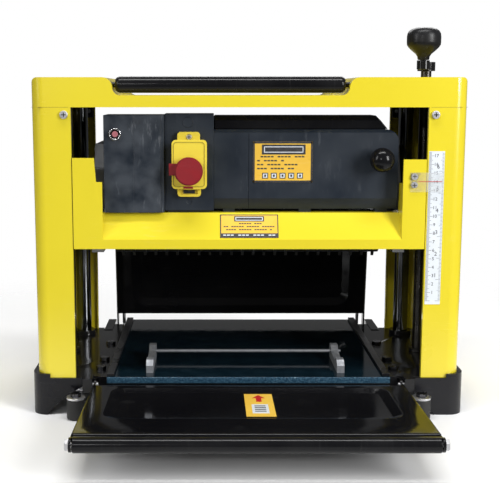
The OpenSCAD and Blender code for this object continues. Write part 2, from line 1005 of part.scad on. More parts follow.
module infeed_tray_bolts() {
  color([0.6, 0.6, 0.62])
    in_place_infeed()
      tray_bolts();
}
module outfeed_tray() {
  color([0.05, 0.05, 0.055])
    in_place_outfeed()
      tray_panel();
}
module outfeed_tray_roller() {
  color([0.04, 0.04, 0.045])
    in_place_outfeed()
      tray_roller();
}
module outfeed_tray_bolts() {
  color([0.6, 0.6, 0.62])
    in_place_outfeed()
      tray_bolts();
}
module tray_pins() {
  color([0.6, 0.6, 0.62])
    both()
      for (y = [hinge_front, hinge_rear])
        xcyl(3, [178.5, 196], y, hinge_z);
}
module knife_gauge() {
  color([0.75, 0.76, 0.78]) {
    for (x = [[-122, -113.5], [107, 116]])
      along_x(x)
        polygon([[-113, table_z], [-34, table_z], [-34, 60], [-38, 65], [-48, 65], [-54, 59], [-86, 56],
          [-96, 62], [-107, 62], [-113, 56]]);
    xcyl(2, [-122, 119], -50, 58);
  }
}

base_casting();
table_plate();
table_rails();
hex_bolts();
corner_shoes();
buffer_brackets();
rubber_buffers();
guide_columns();
top_frame();
left_cover();
right_cover();
top_cover();
cover_screws();
depth_scale();
front_return_roller();
rear_return_roller();
lift_chain();
tray_pins();
left_screw();
right_screw();
crank_arm();
crank_knob();
end_castings();
bronze_bushes();
front_crosspiece();
rear_crosspiece();
head_bearings();
cutter_drum();
knives();
gib_bars();
infeed_roller();
outfeed_roller();
feed_chain();
motor();
motor_shaft();
drive_belt();
chip_shroud();
left_block();
switch_block();
motor_cover();
label_plates();
depth_pointer();
pointer_screws();
pawl_shaft();
kickback_pawls();
reset_ring();
reset_button();
lock_knob();
switch_base();
switch_flap();
stop_mushroom();
start_button();
stop_button();
infeed_tray();
infeed_tray_roller();
infeed_tray_bolts();
outfeed_tray();
outfeed_tray_roller();
outfeed_tray_bolts();
knife_gauge();
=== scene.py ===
import bpy
import bmesh
import json
from math import radians, pi, atan2
from mathutils import Matrix, Vector


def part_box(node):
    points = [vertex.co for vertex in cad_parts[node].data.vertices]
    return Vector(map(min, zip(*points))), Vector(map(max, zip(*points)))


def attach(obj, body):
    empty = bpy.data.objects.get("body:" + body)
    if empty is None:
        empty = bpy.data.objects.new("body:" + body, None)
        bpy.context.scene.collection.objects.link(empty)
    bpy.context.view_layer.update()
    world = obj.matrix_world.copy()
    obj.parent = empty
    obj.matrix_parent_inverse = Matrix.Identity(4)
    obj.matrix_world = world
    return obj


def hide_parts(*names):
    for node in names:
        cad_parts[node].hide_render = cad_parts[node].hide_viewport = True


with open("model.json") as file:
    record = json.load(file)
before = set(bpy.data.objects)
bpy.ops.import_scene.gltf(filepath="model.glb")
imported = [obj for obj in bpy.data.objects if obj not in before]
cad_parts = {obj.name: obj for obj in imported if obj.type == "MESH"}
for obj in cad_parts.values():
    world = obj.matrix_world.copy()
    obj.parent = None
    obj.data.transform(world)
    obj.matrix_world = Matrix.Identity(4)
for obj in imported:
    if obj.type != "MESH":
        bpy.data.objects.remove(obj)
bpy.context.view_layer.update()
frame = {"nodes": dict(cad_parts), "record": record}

# ---------------------------------------------------------------- camera and studio
# A shop-catalogue shot: the planer stands on a white sheet, seen from the height of
# its top cover and a little downward. Soft lamps stand at left, right, above and
# behind, and a low strip in front; the room round them is dim.
lens = bpy.data.cameras.new("catalogue_lens")
lens.lens = 71.02
lens.sensor_width = 36.0
lens.shift_x = 0.080
camera = bpy.data.objects.new("catalogue_camera", lens)
camera.location = (-0.0454, -1.2608, 0.3796)
camera.rotation_euler = (radians(90 - 8.56), 0, 0)
bpy.context.scene.collection.objects.link(camera)
bpy.context.scene.camera = camera
bpy.context.scene.view_settings.view_transform = "Standard"


def softbox(name, place, aim, wide, high, power):
    lamp = bpy.data.lights.new(name, "AREA")
    lamp.shape = "RECTANGLE"
    lamp.size = wide
    lamp.size_y = high
    lamp.energy = power
    obj = bpy.data.objects.new(name, lamp)
    obj.location = place
    obj.rotation_euler = (Vector(aim) - Vector(place)).to_track_quat("-Z", "Y").to_euler()
    bpy.context.scene.collection.objects.link(obj)


softbox("lamp_left", (-1.7, -1.0, 1.0), (0, 0, 0.25), 0.45, 1.1, 11.5)
softbox("lamp_low", (-0.62, -2.0, 0.80), (-0.1, -0.2, 0.15), 0.5, 0.12, 4.5)
softbox("lamp_right", (1.5, -1.5, 0.9), (0.1, 0, 0.2), 0.6, 1.1, 41)
softbox("lamp_top", (0, -0.5, 1.9), (0, 0, 0.3), 1.5, 0.32, 22)
softbox("lamp_back", (0.1, 1.6, 1.5), (0, 0.4, 0.0), 2.2, 0.8, 22)
# the backdrop is lit white, while the room round the lamps stays dim
sky = bpy.data.worlds.new("white_backdrop")
sky.use_nodes = True
backdrop = sky.node_tree.nodes["Background"]
backdrop.inputs["Color"].default_value = (1.0, 1.0, 1.0, 1.0)
seen = sky.node_tree.nodes.new("ShaderNodeLightPath")
level = sky.node_tree.nodes.new("ShaderNodeMapRange")
level.inputs["To Min"].default_value = 0.12
level.inputs["To Max"].default_value = 1.0
sky.node_tree.links.new(seen.outputs["Is Camera Ray"], level.inputs["Value"])
sky.node_tree.links.new(level.outputs["Result"], backdrop.inputs["Strength"])
bpy.context.scene.world = sky

floor_shape = bmesh.new()
bmesh.ops.create_grid(floor_shape, x_segments=1, y_segments=1, size=1.5)
floor_mesh = bpy.data.meshes.new("white_sheet")
floor_shape.to_mesh(floor_mesh)
floor_shape.free()
floor = bpy.data.objects.new("white_sheet", floor_mesh)
bpy.context.scene.collection.objects.link(floor)
paper = bpy.data.materials.new("paper")
paper.use_nodes = True
paper_shader = paper.node_tree.nodes["Principled BSDF"]
paper_shader.inputs["Base Color"].default_value = (0.93, 0.93, 0.93, 1.0)
paper_shader.inputs["Roughness"].default_value = 0.8
# the sheet fades into the backdrop a little way from the planer
paper_place = paper.node_tree.nodes.new("ShaderNodeTexCoord")
paper_far = paper.node_tree.nodes.new("ShaderNodeVectorMath")
paper_far.operation = "LENGTH"
paper_fade = paper.node_tree.nodes.new("ShaderNodeMapRange")
paper_fade.inputs["From Min"].default_value = 0.36
paper_fade.inputs["From Max"].default_value = 0.85
paper_fade.inputs["To Min"].default_value = 1.0
paper_fade.inputs["To Max"].default_value = 0.0
paper.node_tree.links.new(paper_place.outputs["Object"], paper_far.inputs[0])
paper.node_tree.links.new(paper_far.outputs["Value"], paper_fade.inputs["Value"])
paper.node_tree.links.new(paper_fade.outputs["Result"], paper_shader.inputs["Alpha"])
floor_mesh.materials.append(paper)

# ---------------------------------------------------------------- base casting
# The bed everything bolts to: iron, cast in sand, then sprayed with gloss black
# enamel. Its ledges carry the columns and its ears the tray pins.


def group_sockets(group, ins, outs):
    for label, kind, value in ins:
        socket = group.interface.new_socket(name=label, in_out="INPUT", socket_type=kind)
        if value is not None:
            socket.default_value = value
    for label, kind in outs:
        group.interface.new_socket(name=label, in_out="OUTPUT", socket_type=kind)
    start = group.nodes.new("NodeGroupInput")
    end = group.nodes.new("NodeGroupOutput")
    return start, end


def join(tree, a, out, b, into):
    tree.links.new(a.outputs[out], b.inputs[into])


# slow patches of tone and a fine grain, as sprayed or moulded surfaces have
patches = bpy.data.node_groups.new("patches_and_grain", "ShaderNodeTree")
start, end = group_sockets(
    patches,
    [("Vector", "NodeSocketVector", None), ("Patch Scale", "NodeSocketFloat", 12.0),
     ("Grain Scale", "NodeSocketFloat", 900.0)],
    [("Patch", "NodeSocketFloat"), ("Grain", "NodeSocketFloat")])
slow = patches.nodes.new("ShaderNodeTexNoise")
slow.inputs["Detail"].default_value = 5.0
fine = patches.nodes.new("ShaderNodeTexNoise")
fine.inputs["Detail"].default_value = 2.0
spread = patches.nodes.new("ShaderNodeMapRange")
spread.inputs["From Min"].default_value = 0.33
spread.inputs["From Max"].default_value = 0.67
join(patches, start, "Vector", slow, "Vector")
join(patches, start, "Vector", fine, "Vector")
join(patches, start, "Patch Scale", slow, "Scale")
join(patches, start, "Grain Scale", fine, "Scale")
join(patches, slow, "Fac", spread, "Value")
join(patches, spread, "Result", end, "Patch")
join(patches, fine, "Fac", end, "Grain")

# thin rubbed streaks that come and go, left by handling and packing
rubs = bpy.data.node_groups.new("rub_marks", "ShaderNodeTree")
start, end = group_sockets(
    rubs,
    [("Vector", "NodeSocketVector", None), ("Stretch", "NodeSocketVector", (40.0, 40.0, 400.0)),
     ("Amount", "NodeSocketFloat", 0.3)],
    [("Mask", "NodeSocketFloat")])
pull = rubs.nodes.new("ShaderNodeVectorMath")
pull.operation = "MULTIPLY"
streak = rubs.nodes.new("ShaderNodeTexNoise")
streak.inputs["Scale"].default_value = 1.0
streak.inputs["Detail"].default_value = 6.0
streak.inputs["Roughness"].default_value = 0.65
where = rubs.nodes.new("ShaderNodeTexNoise")
where.inputs["Scale"].default_value = 16.0
where.inputs["Detail"].default_value = 3.0
cut = rubs.nodes.new("ShaderNodeMapRange")
cut.inputs["From Min"].default_value = 0.56
cut.inputs["From Max"].default_value = 0.72
cut_where = rubs.nodes.new("ShaderNodeMapRange")
cut_where.inputs["From Min"].default_value = 0.45
cut_where.inputs["From Max"].default_value = 0.7
both = rubs.nodes.new("ShaderNodeMath")
both.operation = "MULTIPLY"
scaled = rubs.nodes.new("ShaderNodeMath")
scaled.operation = "MULTIPLY"
join(rubs, start, "Vector", pull, 0)
join(rubs, start, "Stretch", pull, 1)
join(rubs, pull, "Vector", streak, "Vector")
join(rubs, start, "Vector", where, "Vector")
join(rubs, streak, "Fac", cut, "Value")
join(rubs, where, "Fac", cut_where, "Value")
join(rubs, cut, "Result", both, 0)
join(rubs, cut_where, "Result", both, 1)
join(rubs, both, "Value", scaled, 0)
join(rubs, start, "Amount", scaled, 1)
join(rubs, scaled, "Value", end, "Mask")


def finish(name, colour, second, roughness, metallic=0.0, patch=12.0, grain=900.0, bump=0.02,
           coat=0.0, gloss=0.5, rub=0.0, rub_colour=(0.5, 0.5, 0.5), stretch=(40.0, 40.0, 400.0)):
    made = bpy.data.materials.new(name)
    made.use_nodes = True
    tree = made.node_tree
    shader = tree.nodes["Principled BSDF"]
    shader.inputs["Metallic"].default_value = metallic
    shader.inputs["Coat Weight"].default_value = coat
    shader.inputs["Coat Roughness"].default_value = 0.06
    shader.inputs["Specular IOR Level"].default_value = gloss
    place = tree.nodes.new("ShaderNodeTexCoord")
    surface = tree.nodes.new("ShaderNodeGroup")
    surface.node_tree = patches
    surface.inputs["Patch Scale"].default_value = patch
    surface.inputs["Grain Scale"].default_value = grain
    join(tree, place, "Object", surface, "Vector")
    tone = tree.nodes.new("ShaderNodeMix")
    tone.data_type = "RGBA"
    tone.inputs["A"].default_value = (*colour, 1.0)
    tone.inputs["B"].default_value = (*second, 1.0)
    tree.links.new(surface.outputs["Patch"], tone.inputs["Factor"])
    marks = tree.nodes.new("ShaderNodeGroup")
    marks.node_tree = rubs
    marks.inputs["Stretch"].default_value = stretch
    marks.inputs["Amount"].default_value = rub
    join(tree, place, "Object", marks, "Vector")
    worn = tree.nodes.new("ShaderNodeMix")
    worn.data_type = "RGBA"
    worn.inputs["B"].default_value = (*rub_colour, 1.0)
    tree.links.new(marks.outputs["Mask"], worn.inputs["Factor"])
    tree.links.new(tone.outputs["Result"], worn.inputs["A"])
    tree.links.new(worn.outputs["Result"], shader.inputs["Base Color"])
    rough = tree.nodes.new("ShaderNodeMapRange")
    rough.inputs["To Min"].default_value = roughness[0]
    rough.inputs["To Max"].default_value = roughness[1]
    join(tree, surface, "Patch", rough, "Value")
    added = tree.nodes.new("ShaderNodeMath")
    added.operation = "MULTIPLY_ADD"
    added.inputs[1].default_value = 0.35
    added.use_clamp = True
    join(tree, marks, "Mask", added, 0)
    join(tree, rough, "Result", added, 2)
    join(tree, added, "Value", shader, "Roughness")
    relief = tree.nodes.new("ShaderNodeBump")
    relief.inputs["Strength"].default_value = bump
    relief.inputs["Distance"].default_value = 0.0005
    join(tree, surface, "Grain", relief, "Height")
    join(tree, relief, "Normal", shader, "Normal")
    return made


def holder(node):
    for body, nodes in frame["record"]["behaviour"]["bodies"].items():
        if node in nodes:
            return body


def paint(node, material):
    # a CAD node that stays as it is gets its finish in its own slots
    mesh = frame["nodes"][node].data
    if not mesh.materials:
        mesh.materials.append(material)
    for i in range(len(mesh.materials)):
        mesh.materials[i] = material
    for s in frame["nodes"][node].material_slots:
        s.material = material


def put(name, shape, material, body, smooth=35.0):
    # turns a finished bmesh into a piece that rides on its body
    bmesh.ops.recalc_face_normals(shape, faces=shape.faces)
    mesh = bpy.data.meshes.new(name)
    shape.to_mesh(mesh)
    shape.free()
    mesh.polygons.foreach_set("use_smooth", [True] * len(mesh.polygons))
    mesh.set_sharp_from_angle(angle=radians(smooth))
    mesh.materials.append(material)
    obj = bpy.data.objects.new(name, mesh)
    bpy.context.scene.collection.objects.link(obj)
    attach(obj, body)
    return obj


def softened(node, material, width, segments=2):
    # the node's own shape with its sharp edges rounded, as a casting's or a moulding's are
    shape = bmesh.new()
    shape.from_mesh(frame["nodes"][node].data)
    bmesh.ops.remove_doubles(shape, verts=shape.verts, dist=0.000002)
    bmesh.ops.dissolve_limit(shape, angle_limit=radians(0.3), verts=shape.verts, edges=shape.edges)
    obj = put(node + "_finished", shape, material, holder(node))
    rounding = obj.modifiers.new("rounding", "BEVEL")
    rounding.width = width
    rounding.segments = segments
    rounding.limit_method = "ANGLE"
    rounding.angle_limit = radians(30.0)
    rounding.harden_normals = True
    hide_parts(node)


black_enamel = finish(
    "black_enamel", (0.006, 0.006, 0.007), (0.011, 0.011, 0.012), (0.10, 0.22), patch=9.0,
    grain=260.0, bump=0.06, gloss=0.32, rub=0.25, rub_colour=(0.08, 0.08, 0.08))
softened("base_casting", black_enamel, 0.0008)

# ---------------------------------------------------------------- corner shoes
# Four moulded black shoes under the corners of the base; each has a bolt hole in
# its foot. The finish is a slightly duller black than the casting's.
shoe_black = finish(
    "shoe_black", (0.006, 0.006, 0.008), (0.012, 0.012, 0.014), (0.2, 0.34), patch=14.0,
    grain=700.0, bump=0.08, gloss=0.26, rub=0.35, rub_colour=(0.14, 0.14, 0.14))
softened("corner_shoes", shoe_black, 0.0015, 3)

# ---------------------------------------------------------------- buffers
# Rubber bumpers on bent zinc-plated strips stop the front from sliding on a bench.
rubber = finish(
    "buffer_rubber", (0.012, 0.012, 0.012), (0.022, 0.022, 0.021), (0.55, 0.75), patch=30.0,
    grain=1500.0, bump=0.15, rub=0.3, rub_colour=(0.10, 0.10, 0.10))
softened("rubber_buffers", rubber, 0.0012, 3)
zinc = finish(
    "zinc_plate", (0.74, 0.74, 0.75), (0.56, 0.56, 0.58), (0.34, 0.5), metallic=1.0, patch=90.0,
    grain=1800.0, bump=0.05, rub=0.5, rub_colour=(0.25, 0.25, 0.27))
softened("buffer_brackets", zinc, 0.0004)

# ---------------------------------------------------------------- table
# A steel sheet folded down at the front and back and still in its blue transport
# film, two black side rails that guide the board, and blacked hex bolts on the ledges.
table_steel = finish(
    "filmed_table", (0.003, 0.010, 0.016), (0.006, 0.017, 0.026), (0.04, 0.12), metallic=0.2,
    patch=60.0, grain=900.0, bump=0.03, rub=0.5, rub_colour=(0.02, 0.045, 0.06),
    stretch=(260.0, 60.0, 60.0))
softened("table_plate", table_steel, 0.0006, 3)
film_edge = bmesh.new()
bmesh.ops.create_cube(
    film_edge, size=1.0,
    matrix=Matrix.Translation((0, -0.1303, 0.0434)) @ Matrix.Diagonal((0.3352, 0.0016, 0.0073, 1)))
bmesh.ops.bevel(
    film_edge, geom=film_edge.edges[:], offset=0.0006, offset_type="OFFSET", segments=3, profile=0.5,
    affect="EDGES", material=-1)
film_blue = finish(
    "film_blue", (0.006, 0.024, 0.050), (0.045, 0.110, 0.165), (0.12, 0.3), patch=520.0, grain=700.0,
    bump=0.4, rub=0.9, rub_colour=(0.25, 0.36, 0.42), stretch=(300.0, 90.0, 500.0))
put("film_edge", film_edge, film_blue, "frame")
rail_black = finish(
    "rail_black", (0.008, 0.008, 0.009), (0.015, 0.015, 0.016), (0.25, 0.4), patch=20.0,
    grain=900.0, bump=0.05, gloss=0.4, rub=0.3, rub_colour=(0.2, 0.2, 0.2), stretch=(400.0, 20.0, 20.0))
softened("table_rails", rail_black, 0.0006)
bolt_dark = finish(
    "bolt_dark", (0.10, 0.10, 0.11), (0.05, 0.05, 0.055), (0.2, 0.35), metallic=1.0, patch=120.0,
    grain=1800.0, bump=0.06, rub=0.6, rub_colour=(0.40, 0.40, 0.42))
softened("hex_bolts", bolt_dark, 0.0005)

# ---------------------------------------------------------------- columns and lift
# Ground and chromed columns, right-hand lifting screws with a 2 mm pitch, their
# sprockets, and the roller chain that joins them under the base.
column_chrome = finish(
    "column_chrome", (0.16, 0.165, 0.175), (0.10, 0.105, 0.11), (0.10, 0.2), metallic=1.0, patch=40.0,
    grain=2500.0, bump=0.01, rub=0.4, rub_colour=(0.35, 0.35, 0.36), stretch=(60.0, 60.0, 700.0))
softened("guide_columns", column_chrome, 0.001)
paint("tray_pins", zinc)
oiled_steel = finish(
    "oiled_steel", (0.09, 0.085, 0.08), (0.045, 0.043, 0.04), (0.25, 0.45), metallic=1.0, patch=60.0,
    grain=1600.0, bump=0.08, rub=0.4, rub_colour=(0.38, 0.37, 0.35))
paint("lift_chain", oiled_steel)
pitch = 0.002
steps_a_turn = 14
turns = 154
thread_start = 0.0505
for side, x in (("left", -0.227), ("right", 0.227)):
    paint(side + "_screw", oiled_steel)
    thread = bmesh.new()
    corners = []
    for r, z in ((0.00695, 0.0), (0.00725, 0.0005), (0.00725, 0.0009), (0.00695, 0.0014)):
        corners.append(thread.verts.new((x + r, 0, thread_start + z)))
    section = thread.faces.new(corners)
    bmesh.ops.spin(
        thread, geom=corners + section.edges[:] + [section], cent=(x, 0, 0), axis=(0, 0, 1),
        dvec=(0, 0, pitch / steps_a_turn), angle=2 * pi * turns, steps=steps_a_turn * turns,
        use_merge=False)
    put(side + "_screw_thread", thread, oiled_steel, side + "_lift_screw")

# ---------------------------------------------------------------- top frame
# Black steel bars and end plates that hold the upper ends of columns and screws.
softened("top_frame", rail_black, 0.0006)

# ---------------------------------------------------------------- yellow covers
# 1.5 mm steel pressings, degreased and powder coated in gloss yellow: a channel
# round each pair of columns and a saddle over the top, fixed with plated screws.
yellow_enamel = finish(
    "yellow_enamel", (0.80, 0.665, 0.030), (0.755, 0.615, 0.022), (0.18, 0.28), patch=6.0,
    grain=420.0, bump=0.035, coat=0.5, rub=0.16, rub_colour=(0.88, 0.76, 0.3))
softened("left_cover", yellow_enamel, 0.0006, 3)
softened("right_cover", yellow_enamel, 0.0006, 3)
softened("top_cover", yellow_enamel, 0.0009, 3)
softened("cover_screws", zinc, 0.0012, 3)


def slab(shape, low, high):
    # one thin block between two corners
    middle = [(a + b) / 2 for a, b in zip(low, high)]
    size = [b - a for a, b in zip(low, high)]
    bmesh.ops.create_cube(
        shape, size=1.0, matrix=Matrix.Translation(middle) @ Matrix.Diagonal((*size, 1.0)))


def cross(shape, x, y, z, arm, half, thick=0.0002):
    # the recess of a cross-head screw, as two thin dark blocks laid on the head: painted shade of the
    # recess
    slab(shape, (x - arm, y, z - half), (x + arm, y + thick, z + half))
    slab(shape, (x - half, y, z - arm), (x + half, y + thick, z + arm))


# dark metal as painted shade inside screw recesses and the switch tab's slot
recess_shade_paint = finish(
    "recess_painted_shade", (0.03, 0.03, 0.03), (0.05, 0.05, 0.05), (0.4, 0.6), metallic=0.6, patch=200.0,
    grain=2000.0, bump=0.05)
crosses = bmesh.new()
for x in (-0.2125, 0.2125):
    for y in (-0.1281, 0.1279):
        cross(crosses, x, y, 0.3550, 0.0027, 0.0006)
put("cover_screw_crosses", crosses, recess_shade_paint, "frame")
# the line where the saddle sits down on the side channels, a thin strip of darker yellow as painted
# shade in the seam
seam_painted_shade = finish(
    "seam_painted_shade", (0.22, 0.16, 0.012), (0.14, 0.10, 0.010), (0.5, 0.7), patch=80.0, grain=900.0,
    bump=0.05)
seam = bmesh.new()
seam_low, seam_high = 0.36335, 0.36365
for side in (-1, 1):
    for y in (-1, 1):
        x0, x1 = sorted((side * 0.2075, side * 0.2435))
        y0, y1 = sorted((y * 0.1240, y * 0.12507))
        slab(seam, (x0, y0, seam_low), (x1, y1, seam_high))
    x0, x1 = sorted((side * 0.2500, side * 0.25107))
    slab(seam, (x0, -0.1175, seam_low), (x1, 0.1175, seam_high))
put("cover_seam_painted_shade", seam, seam_painted_shade, "frame")

# ---------------------------------------------------------------- depth scale
# A white self-adhesive strip printed with centimetres on the left edge and inches
# on the right. A centimetre number is level with its long mark, an inch number is
# just above its own.
scale_white = finish(
    "scale_white", (0.80, 0.84, 0.88), (0.72, 0.77, 0.82), (0.25, 0.35), patch=40.0, grain=900.0,
    bump=0.02, rub=0.15, rub_colour=(0.6, 0.6, 0.55))
softened("depth_scale", scale_white, 0.0001)
print_black = finish(
    "print_black", (0.03, 0.03, 0.035), (0.05, 0.05, 0.055), (0.4, 0.5), patch=300.0, grain=900.0,
    bump=0.02)
marks = bmesh.new()
print_front = -0.12542
print_back = print_front + 0.0001
left_edge = 0.2069
right_edge = 0.2243
scale_zero = 0.1382
scale_top = 0.3128
inch = 0.0254
half_line = 0.00016
for k in range(176):
    z = scale_zero + k * 0.001
    long = 0.0058 if k % 10 == 0 else (0.0042 if k % 5 == 0 else 0.0026)
    if z < scale_top:
        slab(marks, (left_edge, print_front, z - half_line),
             (left_edge + long, print_back, z + half_line))
for k in range(111):
    z = scale_zero + k * inch / 16
    long = 0.0058 if k % 16 == 0 else (0.004 if k % 8 == 0 else 0.0025)
    if z < scale_top:
        slab(marks, (right_edge - long, print_front, z - half_line),
             (right_edge, print_back, z + half_line))


def numeral(shape, text, x, z, high, y):
    # a printed number, flat on the front, its middle at x and z
    curve = bpy.data.curves.new("numeral", "FONT")
    curve.body = text
    curve.size = high
    curve.align_x = "CENTER"
    curve.align_y = "CENTER"
    curve.resolution_u = 3
    curve.extrude = 0.00004
    lettering = bpy.data.objects.new("numeral", curve)
    flat = bpy.data.meshes.new_from_object(lettering)
    flat.transform(Matrix.Translation((x, y, z)) @ Matrix.Rotation(radians(90), 4, "X"))
    shape.from_mesh(flat)
    bpy.data.objects.remove(lettering)
    bpy.data.curves.remove(curve)
    bpy.data.meshes.remove(flat)


for k in range(1, 18):
    numeral(marks, str(k), 0.2148 if k < 10 else 0.2150, scale_zero + k * 0.01, 0.0054, print_front)
for k in range(1, 7):
    numeral(marks, str(k), 0.2176, scale_zero + k * inch + 0.0050, 0.0066, print_front)
put("scale_print", marks, print_black, "frame")

# ---------------------------------------------------------------- return rollers
# Two hard plastic rollers that pass a board back over the machine; they turn on
# moulded stub ends in the walls of the top cover.
gloss_black = finish(
    "gloss_black_moulding", (0.005, 0.005, 0.006), (0.009, 0.009, 0.010), (0.12, 0.22), patch=20.0,
    grain=700.0, bump=0.05, gloss=0.2, rub=0.3, rub_colour=(0.05, 0.05, 0.05),
    stretch=(500.0, 30.0, 30.0))
softened("front_return_roller", gloss_black, 0.0003)
softened("rear_return_roller", gloss_black, 0.0003)

# ---------------------------------------------------------------- crank
# A flat black arm clamped on the right-hand screw, and a spinning grip moulded as a
# smooth flared body in hard black plastic.
softened("crank_arm", black_enamel, 0.0012, 3)
grip = bmesh.new()
grip_x, grip_y = 0.207, -0.075
outline = [
    (0.0, 0.4470), (0.0041, 0.4470), (0.0041, 0.4184), (0.0065, 0.4184), (0.0070, 0.4200),
    (0.0072, 0.4222), (0.0092, 0.4252), (0.0140, 0.4292), (0.0178, 0.4330), (0.0196, 0.4358),
    (0.0199, 0.4390), (0.0199, 0.4455), (0.0193, 0.4490), (0.0176, 0.4520), (0.0145, 0.4543),
    (0.0095, 0.4556), (0.0040, 0.4560), (0.0, 0.4560)]
points = [grip.verts.new((grip_x + r, grip_y, z)) for r, z in outline]
ribs = [grip.edges.new((points[i], points[i + 1])) for i in range(len(points) - 1)]
bmesh.ops.spin(
    grip, geom=points + ribs, cent=(grip_x, grip_y, 0), axis=(0, 0, 1), dvec=(0, 0, 0),
    angle=2 * pi, steps=96, use_merge=True)
bmesh.ops.remove_doubles(grip, verts=grip.verts, dist=0.000005)
grip_black = finish(
    "grip_black", (0.008, 0.008, 0.009), (0.015, 0.015, 0.016), (0.26, 0.40), patch=40.0,
    grain=900.0, bump=0.12, gloss=0.25, rub=0.4, rub_colour=(0.08, 0.08, 0.08),
    stretch=(120.0, 120.0, 40.0))
grip_piece = put("crank_grip", grip, grip_black, "knob", 60.0)
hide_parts("crank_knob")

# ---------------------------------------------------------------- carriage castings
# Two aluminium end castings slide on the columns in bronze bushes; bearings for
# the cutter shaft are pressed into them.
cast_alloy = finish(
    "cast_alloy", (0.42, 0.43, 0.45), (0.33, 0.34, 0.36), (0.38, 0.55), metallic=0.9, patch=35.0,
    grain=650.0, bump=0.25, rub=0.3, rub_colour=(0.6, 0.6, 0.62))
softened("end_castings", cast_alloy, 0.0012)
bronze = finish(
    "bush_bronze", (0.45, 0.27, 0.10), (0.34, 0.20, 0.08), (0.22, 0.4), metallic=1.0, patch=60.0,
    grain=1500.0, bump=0.05, rub=0.3, rub_colour=(0.6, 0.42, 0.2))
paint("bronze_bushes", bronze)
ground_steel = finish(
    "ground_steel", (0.52, 0.53, 0.55), (0.42, 0.43, 0.45), (0.16, 0.3), metallic=1.0, patch=60.0,
    grain=2200.0, bump=0.04, rub=0.5, rub_colour=(0.3, 0.3, 0.31), stretch=(18.0, 500.0, 500.0))
paint("head_bearings", ground_steel)

# ---------------------------------------------------------------- crosspieces
# The front one is a folded yellow channel with an ear at each end; the rear one is
# a plain black bar.
softened("front_crosspiece", yellow_enamel, 0.0012, 3)
softened("rear_crosspiece", rail_black, 0.0008)

# ---------------------------------------------------------------- cutterhead and feed
# A steel drum with two clamped knives between two rubber-coated feed rollers. The
# kickback pawls hang on a bar in front; the motor above turns the drum by a belt.
paint("cutter_drum", ground_steel)
bright_edge = finish(
    "knife_steel", (0.70, 0.71, 0.73), (0.6, 0.61, 0.63), (0.08, 0.16), metallic=1.0, patch=90.0,
    grain=2500.0, bump=0.02, rub=0.3, rub_colour=(0.4, 0.4, 0.4), stretch=(18.0, 600.0, 600.0))
paint("knives", bright_edge)
paint("gib_bars", oiled_steel)
feed_rubber = finish(
    "feed_rubber", (0.015, 0.015, 0.015), (0.03, 0.029, 0.027), (0.55, 0.75), patch=50.0,
    grain=1200.0, bump=0.2, rub=0.4, rub_colour=(0.12, 0.10, 0.07))
paint("infeed_roller", feed_rubber)
paint("outfeed_roller", feed_rubber)
paint("feed_chain", oiled_steel)
motor_grey = finish(
    "motor_grey", (0.05, 0.05, 0.055), (0.08, 0.08, 0.085), (0.4, 0.6), patch=30.0, grain=500.0,
    bump=0.3, rub=0.3, rub_colour=(0.16, 0.16, 0.16))
softened("motor", motor_grey, 0.002, 3)
paint("motor_shaft", ground_steel)
paint("drive_belt", rubber)
paint("pawl_shaft", ground_steel)
paint("kickback_pawls", oiled_steel)

# ---------------------------------------------------------------- head casings
# Glass-filled nylon mouldings: a glossy chip shroud over the motor, and three
# charcoal casings across the front with a fine spark texture.
softened("chip_shroud", gloss_black, 0.0025, 4)
charcoal = finish(
    "charcoal_moulding", (0.011, 0.0165, 0.026), (0.022, 0.029, 0.040), (0.34, 0.5), patch=22.0,
    grain=1500.0, bump=0.09, gloss=0.36, rub=0.6, rub_colour=(0.09, 0.10, 0.115),
    stretch=(150.0, 60.0, 40.0))
scuffed_charcoal = finish(
    "scuffed_charcoal", (0.007, 0.012, 0.020), (0.038, 0.046, 0.058), (0.34, 0.55), patch=46.0,
    grain=1500.0, bump=0.09, gloss=0.36, rub=1.0, rub_colour=(0.22, 0.235, 0.255),
    stretch=(210.0, 90.0, 50.0))
softened("left_block", scuffed_charcoal, 0.0016, 3)
softened("switch_block", charcoal, 0.0018, 3)
softened("motor_cover", charcoal, 0.0016, 3)
# the motor cover's shallow joint line beside the switch block
cover_line = bmesh.new()
slab(cover_line, (-0.0002, -0.1052, 0.2450), (0.0002, -0.1050, 0.3330))
put("motor_cover_line", cover_line, gloss_black, "carriage")

# ---------------------------------------------------------------- plates
# Two printed foils: a data plate on the motor cover and a plate with guidance on
# the sloping front, both with plain bars in place of words.
foil = finish(
    "plate_foil", (0.86, 0.50, 0.05), (0.90, 0.58, 0.08), (0.22, 0.34), patch=14.0, grain=1200.0,
    bump=0.02, rub=0.2, rub_colour=(0.9, 0.7, 0.35))
paint("label_plates", foil)
upright = Matrix.Translation((0.03975, -0.1055, 0.29975)) @ Matrix.Rotation(radians(90), 4, "X")
slope_angle = atan2(29.4, 18.5)
sloping = (
    Matrix.Translation((0, -0.1262, 0.211)) @ Matrix.Rotation(slope_angle, 4, "X")
    @ Matrix.Translation((0.0005, 0.017, 0.0005)))
black_print = bmesh.new()
white_print = bmesh.new()


def bar(shape, plate, x0, y0, x1, y1, lift=0.00012):
    # one printed bar on a plate, in millimetres from the plate's middle
    before = set(shape.verts)
    slab(shape, (x0 / 1000, y0 / 1000, 0), (x1 / 1000, y1 / 1000, lift))
    new = [v for v in shape.verts if v not in before]
    bmesh.ops.transform(shape, matrix=plate, verts=new)


